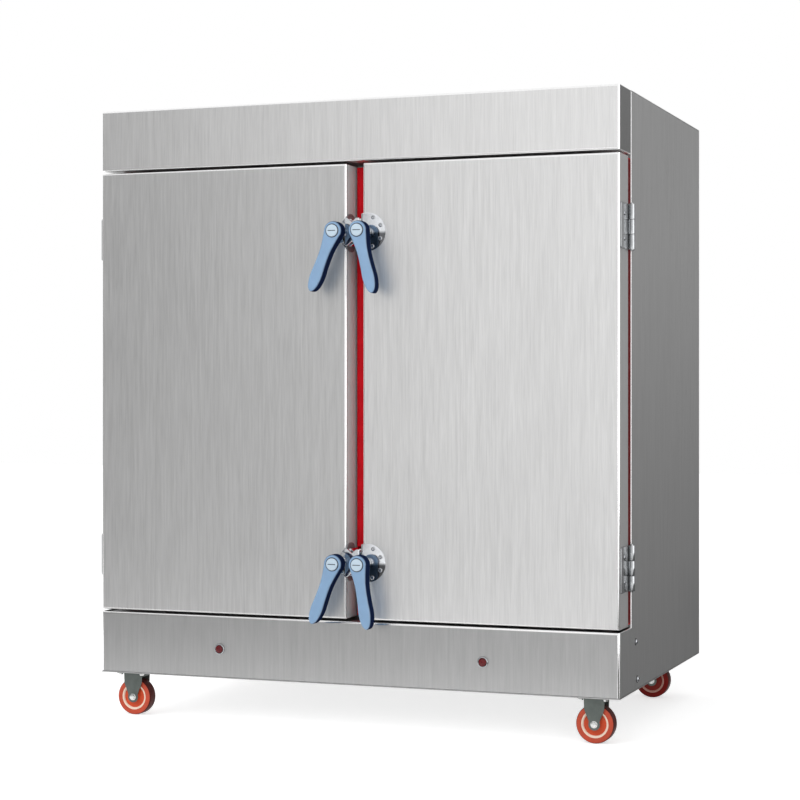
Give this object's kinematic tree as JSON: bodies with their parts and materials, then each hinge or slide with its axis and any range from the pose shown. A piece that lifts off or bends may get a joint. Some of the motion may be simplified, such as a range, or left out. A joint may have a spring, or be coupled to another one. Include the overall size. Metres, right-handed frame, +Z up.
{
  "type": "rice steamer cabinet",
  "caption": "Insulated steel steam cabinet on casters, with hinged doors on a red seal, lever latches, tray rails, a water tank with heaters, and a drain.",
  "frame": {"origin": "middle of the bottom of the whole object, on the floor between the casters", "axes": "+X to the right across the front, +Y from the doors to the back, +Z up"},
  "size_m": [1.127, 0.853, 1.251],
  "materials": {
    "brushed_steel": "satin",
    "inner_steel": "satin",
    "chrome": "polished",
    "zinc": "satin",
    "insulation": "matte",
    "red_silicone": "matte",
    "blue_plastic": "gloss",
    "wheel_red": "satin",
    "lamp_red": "gloss",
    "brass": "satin",
    "black_nylon": "matte",
    "red_vinyl": "matte"
  },
  "bodies": {
    "cabinet": {"back_panel": "brushed_steel", "base_front_panel": "brushed_steel", "base_pan": "zinc", "cable_gland": "black_nylon", "caster_fork_front_left": "zinc", "caster_fork_front_right": "zinc", "caster_plate_rear_left": "zinc", "caster_plate_rear_right": "zinc", "chamber_liner": "inner_steel", "door_seal": "red_silicone", "drain_valve": "brass", "float_valve": "brass", "header_shell": "brushed_steel", "heater_left": "inner_steel", "heater_right": "inner_steel", "hinge_body_leaf_left_lower": "chrome", "hinge_body_leaf_left_upper": "chrome", "hinge_body_leaf_right_lower": "chrome", "hinge_body_leaf_right_upper": "chrome", "insulation_jacket": "insulation", "keeper_lower": "chrome", "keeper_upper": "chrome", "lamp_bezel_left": "chrome", "lamp_bezel_right": "chrome", "lamp_lens_left": "lamp_red", "lamp_lens_right": "lamp_red", "mullion": "inner_steel", "rack_left": "inner_steel", "rack_right": "inner_steel", "side_panel_left": "brushed_steel", "side_panel_right": "brushed_steel", "steam_vent": "inner_steel", "tank_cover": "inner_steel", "top_panel": "brushed_steel"},
    "door_left": {"door_shell_left": "brushed_steel", "door_core_left": "insulation", "door_liner_left": "inner_steel", "hinge_door_leaf_left_lower": "chrome", "hinge_door_leaf_left_upper": "chrome", "latch_plate_left_lower": "chrome", "latch_plate_left_upper": "chrome"},
    "lever_left_lower": {"latch_lever_left_lower": "blue_plastic"},
    "lever_left_upper": {"latch_lever_left_upper": "blue_plastic"},
    "wheel_front_left": {"caster_wheel_front_left": "wheel_red"},
    "swivel_rear_left": {"caster_fork_rear_left": "zinc"},
    "wheel_rear_left": {"caster_wheel_rear_left": "wheel_red"},
    "door_right": {"door_shell_right": "brushed_steel", "door_core_right": "insulation", "door_liner_right": "inner_steel", "hinge_door_leaf_right_lower": "chrome", "hinge_door_leaf_right_upper": "chrome", "latch_plate_right_lower": "chrome", "latch_plate_right_upper": "chrome"},
    "lever_right_lower": {"latch_lever_right_lower": "blue_plastic"},
    "lever_right_upper": {"latch_lever_right_upper": "blue_plastic"},
    "wheel_front_right": {"caster_wheel_front_right": "wheel_red"},
    "swivel_rear_right": {"caster_fork_rear_right": "zinc"},
    "wheel_rear_right": {"caster_wheel_rear_right": "wheel_red"},
    "drain_handle": {"drain_handle": "red_vinyl"},
    "float": {"float_arm": "inner_steel"}
  },
  "joints": [
    {"name": "door_left_hinge", "type": "hinge", "parent": "cabinet", "child": "door_left", "pos_m": [-0.557, -0.3025, 0.66], "axis": [0, 0, -1], "range_deg": [0, 180]},
    {"name": "lever_left_lower_pivot", "type": "hinge", "parent": "door_left", "child": "lever_left_lower", "pos_m": [-0.012, -0.3723, 0.334], "axis": [0, 1, 0], "range_deg": [-21, 75]},
    {"name": "lever_left_upper_pivot", "type": "hinge", "parent": "door_left", "child": "lever_left_upper", "pos_m": [-0.012, -0.3723, 0.986], "axis": [0, 1, 0], "range_deg": [-22, 75]},
    {"name": "wheel_front_left_spin", "type": "hinge", "parent": "cabinet", "child": "wheel_front_left", "pos_m": [-0.493, -0.3215, 0.0375], "axis": [0, 1, 0], "continuous": true},
    {"name": "swivel_rear_left_turn", "type": "hinge", "parent": "cabinet", "child": "swivel_rear_left", "pos_m": [-0.493, 0.2795, 0.084], "axis": [0, 0, 1], "continuous": true},
    {"name": "wheel_rear_left_spin", "type": "hinge", "parent": "swivel_rear_left", "child": "wheel_rear_left", "pos_m": [-0.523, 0.2795, 0.0375], "axis": [0, 1, 0], "continuous": true},
    {"name": "door_right_hinge", "type": "hinge", "parent": "cabinet", "child": "door_right", "pos_m": [0.557, -0.3025, 0.66], "axis": [0, 0, 1], "range_deg": [0, 180]},
    {"name": "lever_right_lower_pivot", "type": "hinge", "parent": "door_right", "child": "lever_right_lower", "pos_m": [0.04, -0.3723, 0.334], "axis": [0, -1, 0], "range_deg": [-9, 75]},
    {"name": "lever_right_upper_pivot", "type": "hinge", "parent": "door_right", "child": "lever_right_upper", "pos_m": [0.04, -0.3723, 0.986], "axis": [0, -1, 0], "range_deg": [-14, 75]},
    {"name": "wheel_front_right_spin", "type": "hinge", "parent": "cabinet", "child": "wheel_front_right", "pos_m": [0.493, -0.3215, 0.0375], "axis": [0, 1, 0], "continuous": true},
    {"name": "swivel_rear_right_turn", "type": "hinge", "parent": "cabinet", "child": "swivel_rear_right", "pos_m": [0.493, 0.2795, 0.084], "axis": [0, 0, 1], "continuous": true},
    {"name": "wheel_rear_right_spin", "type": "hinge", "parent": "swivel_rear_right", "child": "wheel_rear_right", "pos_m": [0.463, 0.2795, 0.0375], "axis": [0, 1, 0], "continuous": true},
    {"name": "drain_handle_turn", "type": "hinge", "parent": "cabinet", "child": "drain_handle", "pos_m": [0.3, 0.3915, 0.1505], "axis": [0, 0, 1], "range_deg": [0, 90]},
    {"name": "float_swing", "type": "hinge", "parent": "cabinet", "child": "float", "pos_m": [0, 0.2432, 0.2385], "axis": [-1, 0, 0], "range_deg": [0, 18]}
  ]
}
